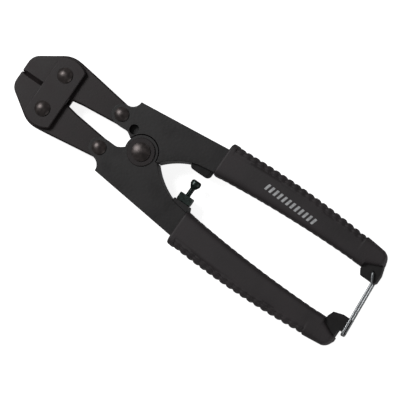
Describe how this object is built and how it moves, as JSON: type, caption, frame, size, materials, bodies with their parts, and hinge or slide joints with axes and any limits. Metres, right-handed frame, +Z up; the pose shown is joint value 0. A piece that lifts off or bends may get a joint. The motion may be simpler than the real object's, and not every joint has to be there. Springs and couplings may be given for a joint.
{
  "type": "bolt cutters",
  "caption": "Pocket compound-action bolt cutter: pivoting jaws between joint plates, half-lapped handle arms with ribbed grips, stop screw, wire latch.",
  "frame": {"origin": "centre of the tool's bounding box on the surface that it lies on", "axes": "+X from the blades to the handle ends, +Y the way the upper handle opens, +Z up from the resting surface"},
  "size_m": [0.211, 0.0618, 0.0161],
  "materials": {
    "forged_head": "black phosphated forging, satin",
    "plate_steel": "black oxide plate, satin",
    "bolt_steel": "black oxide bolt, semi-gloss",
    "nut_steel": "black oxide nut, satin",
    "arm_paint": "black enamel on forged steel",
    "grip_vinyl": "moulded black vinyl, fine grain",
    "pad_rubber": "black rubber",
    "stop_steel": "black oxide screw",
    "latch_wire_steel": "bright zinc-plated spring wire"
  },
  "bodies": {
    "lower_handle": {"lower_handle_arm": "arm_paint", "lower_grip": "grip_vinyl", "centre_bolt": "bolt_steel", "centre_washer": "plate_steel", "centre_nut": "nut_steel", "lower_link_bolt": "bolt_steel", "lower_link_nut": "nut_steel", "stop_lock_nut": "nut_steel"},
    "upper_handle": {"upper_handle_arm": "arm_paint", "upper_grip": "grip_vinyl", "upper_link_bolt": "bolt_steel", "upper_link_nut": "nut_steel", "stop_pad": "pad_rubber"},
    "lower_jaw": {"lower_jaw": "forged_head"},
    "upper_jaw": {"upper_jaw": "forged_head"},
    "joint_plates": {"front_joint_plate": "plate_steel", "rear_joint_plate": "plate_steel", "upper_jaw_bolt": "bolt_steel", "lower_jaw_bolt": "bolt_steel", "upper_jaw_nut": "nut_steel", "lower_jaw_nut": "nut_steel"},
    "latch": {"latch_wire": "latch_wire_steel"},
    "stop_screw": {"stop_screw": "stop_steel"}
  },
  "joints": [
    {"name": "handle_pivot", "type": "hinge", "parent": "lower_handle", "child": "upper_handle", "pos_m": [-0.02985, 0, 0.0078], "axis": [0, 0, 1], "range_deg": [0, 25]},
    {"name": "lower_jaw_pivot", "type": "hinge", "parent": "lower_handle", "child": "lower_jaw", "pos_m": [-0.04905, -0.0101, 0.0078], "axis": [0, 0, 1], "range_deg": [0, 19.6]},
    {"name": "upper_jaw_pivot", "type": "hinge", "parent": "upper_handle", "child": "upper_jaw", "pos_m": [-0.04905, 0.0101, 0.0078], "axis": [0, 0, 1], "range_deg": [-19.6, 0]},
    {"name": "joint_plate_pivot", "type": "hinge", "parent": "lower_jaw", "child": "joint_plates", "pos_m": [-0.08485, -0.0101, 0.0078], "axis": [0, 0, 1], "range_deg": [-7.1, 0]},
    {"name": "latch_swing", "type": "hinge", "parent": "upper_handle", "child": "latch", "pos_m": [0.09995, 0.016, 0.0078], "axis": [0, 0, 1], "range_deg": [-3.2, 110]},
    {"name": "stop_screw_travel", "type": "slide", "parent": "lower_handle", "child": "stop_screw", "axis": [0, 1, 0], "range_m": [-0.0015, 0.003]}
  ],
  "couplings": [
    {"joint": "lower_jaw_pivot", "follows": "handle_pivot", "ratio": 0.7805},
    {"joint": "upper_jaw_pivot", "follows": "handle_pivot", "ratio": -0.7805},
    {"joint": "joint_plate_pivot", "follows": "handle_pivot", "ratio": -0.2805}
  ]
}
